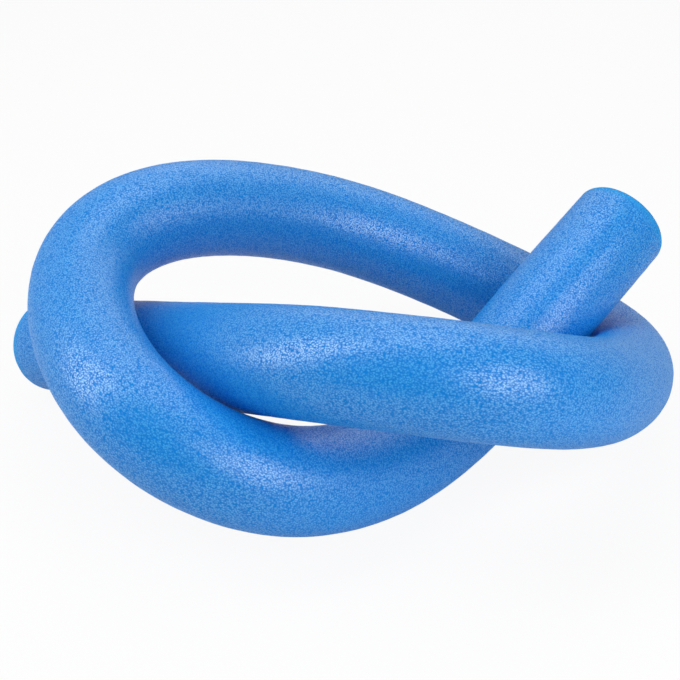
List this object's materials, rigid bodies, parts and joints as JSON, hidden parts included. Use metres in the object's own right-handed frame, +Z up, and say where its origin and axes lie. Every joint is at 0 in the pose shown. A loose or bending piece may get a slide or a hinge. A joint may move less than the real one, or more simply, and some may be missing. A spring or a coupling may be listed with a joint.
{
  "type": "pool noodle",
  "caption": "Hollow closed-cell foam tube, tied in a loose overhand knot; a soft float to lean on, hold or sit astride in the water.",
  "frame": {"origin": "on the floor, under the middle of the box round the knot", "axes": "+X to the right along the knot's long side, +Y away from the viewer, +Z up"},
  "size_m": [0.4479, 0.3285, 0.1663],
  "materials": {
    "blue_foam": "extruded closed-cell polyethylene foam, mid blue all through, satin skin with fine flattened cells"
  },
  "bodies": {
    "root": {"foam_noodle": "blue_foam"}
  },
  "joints": []
}
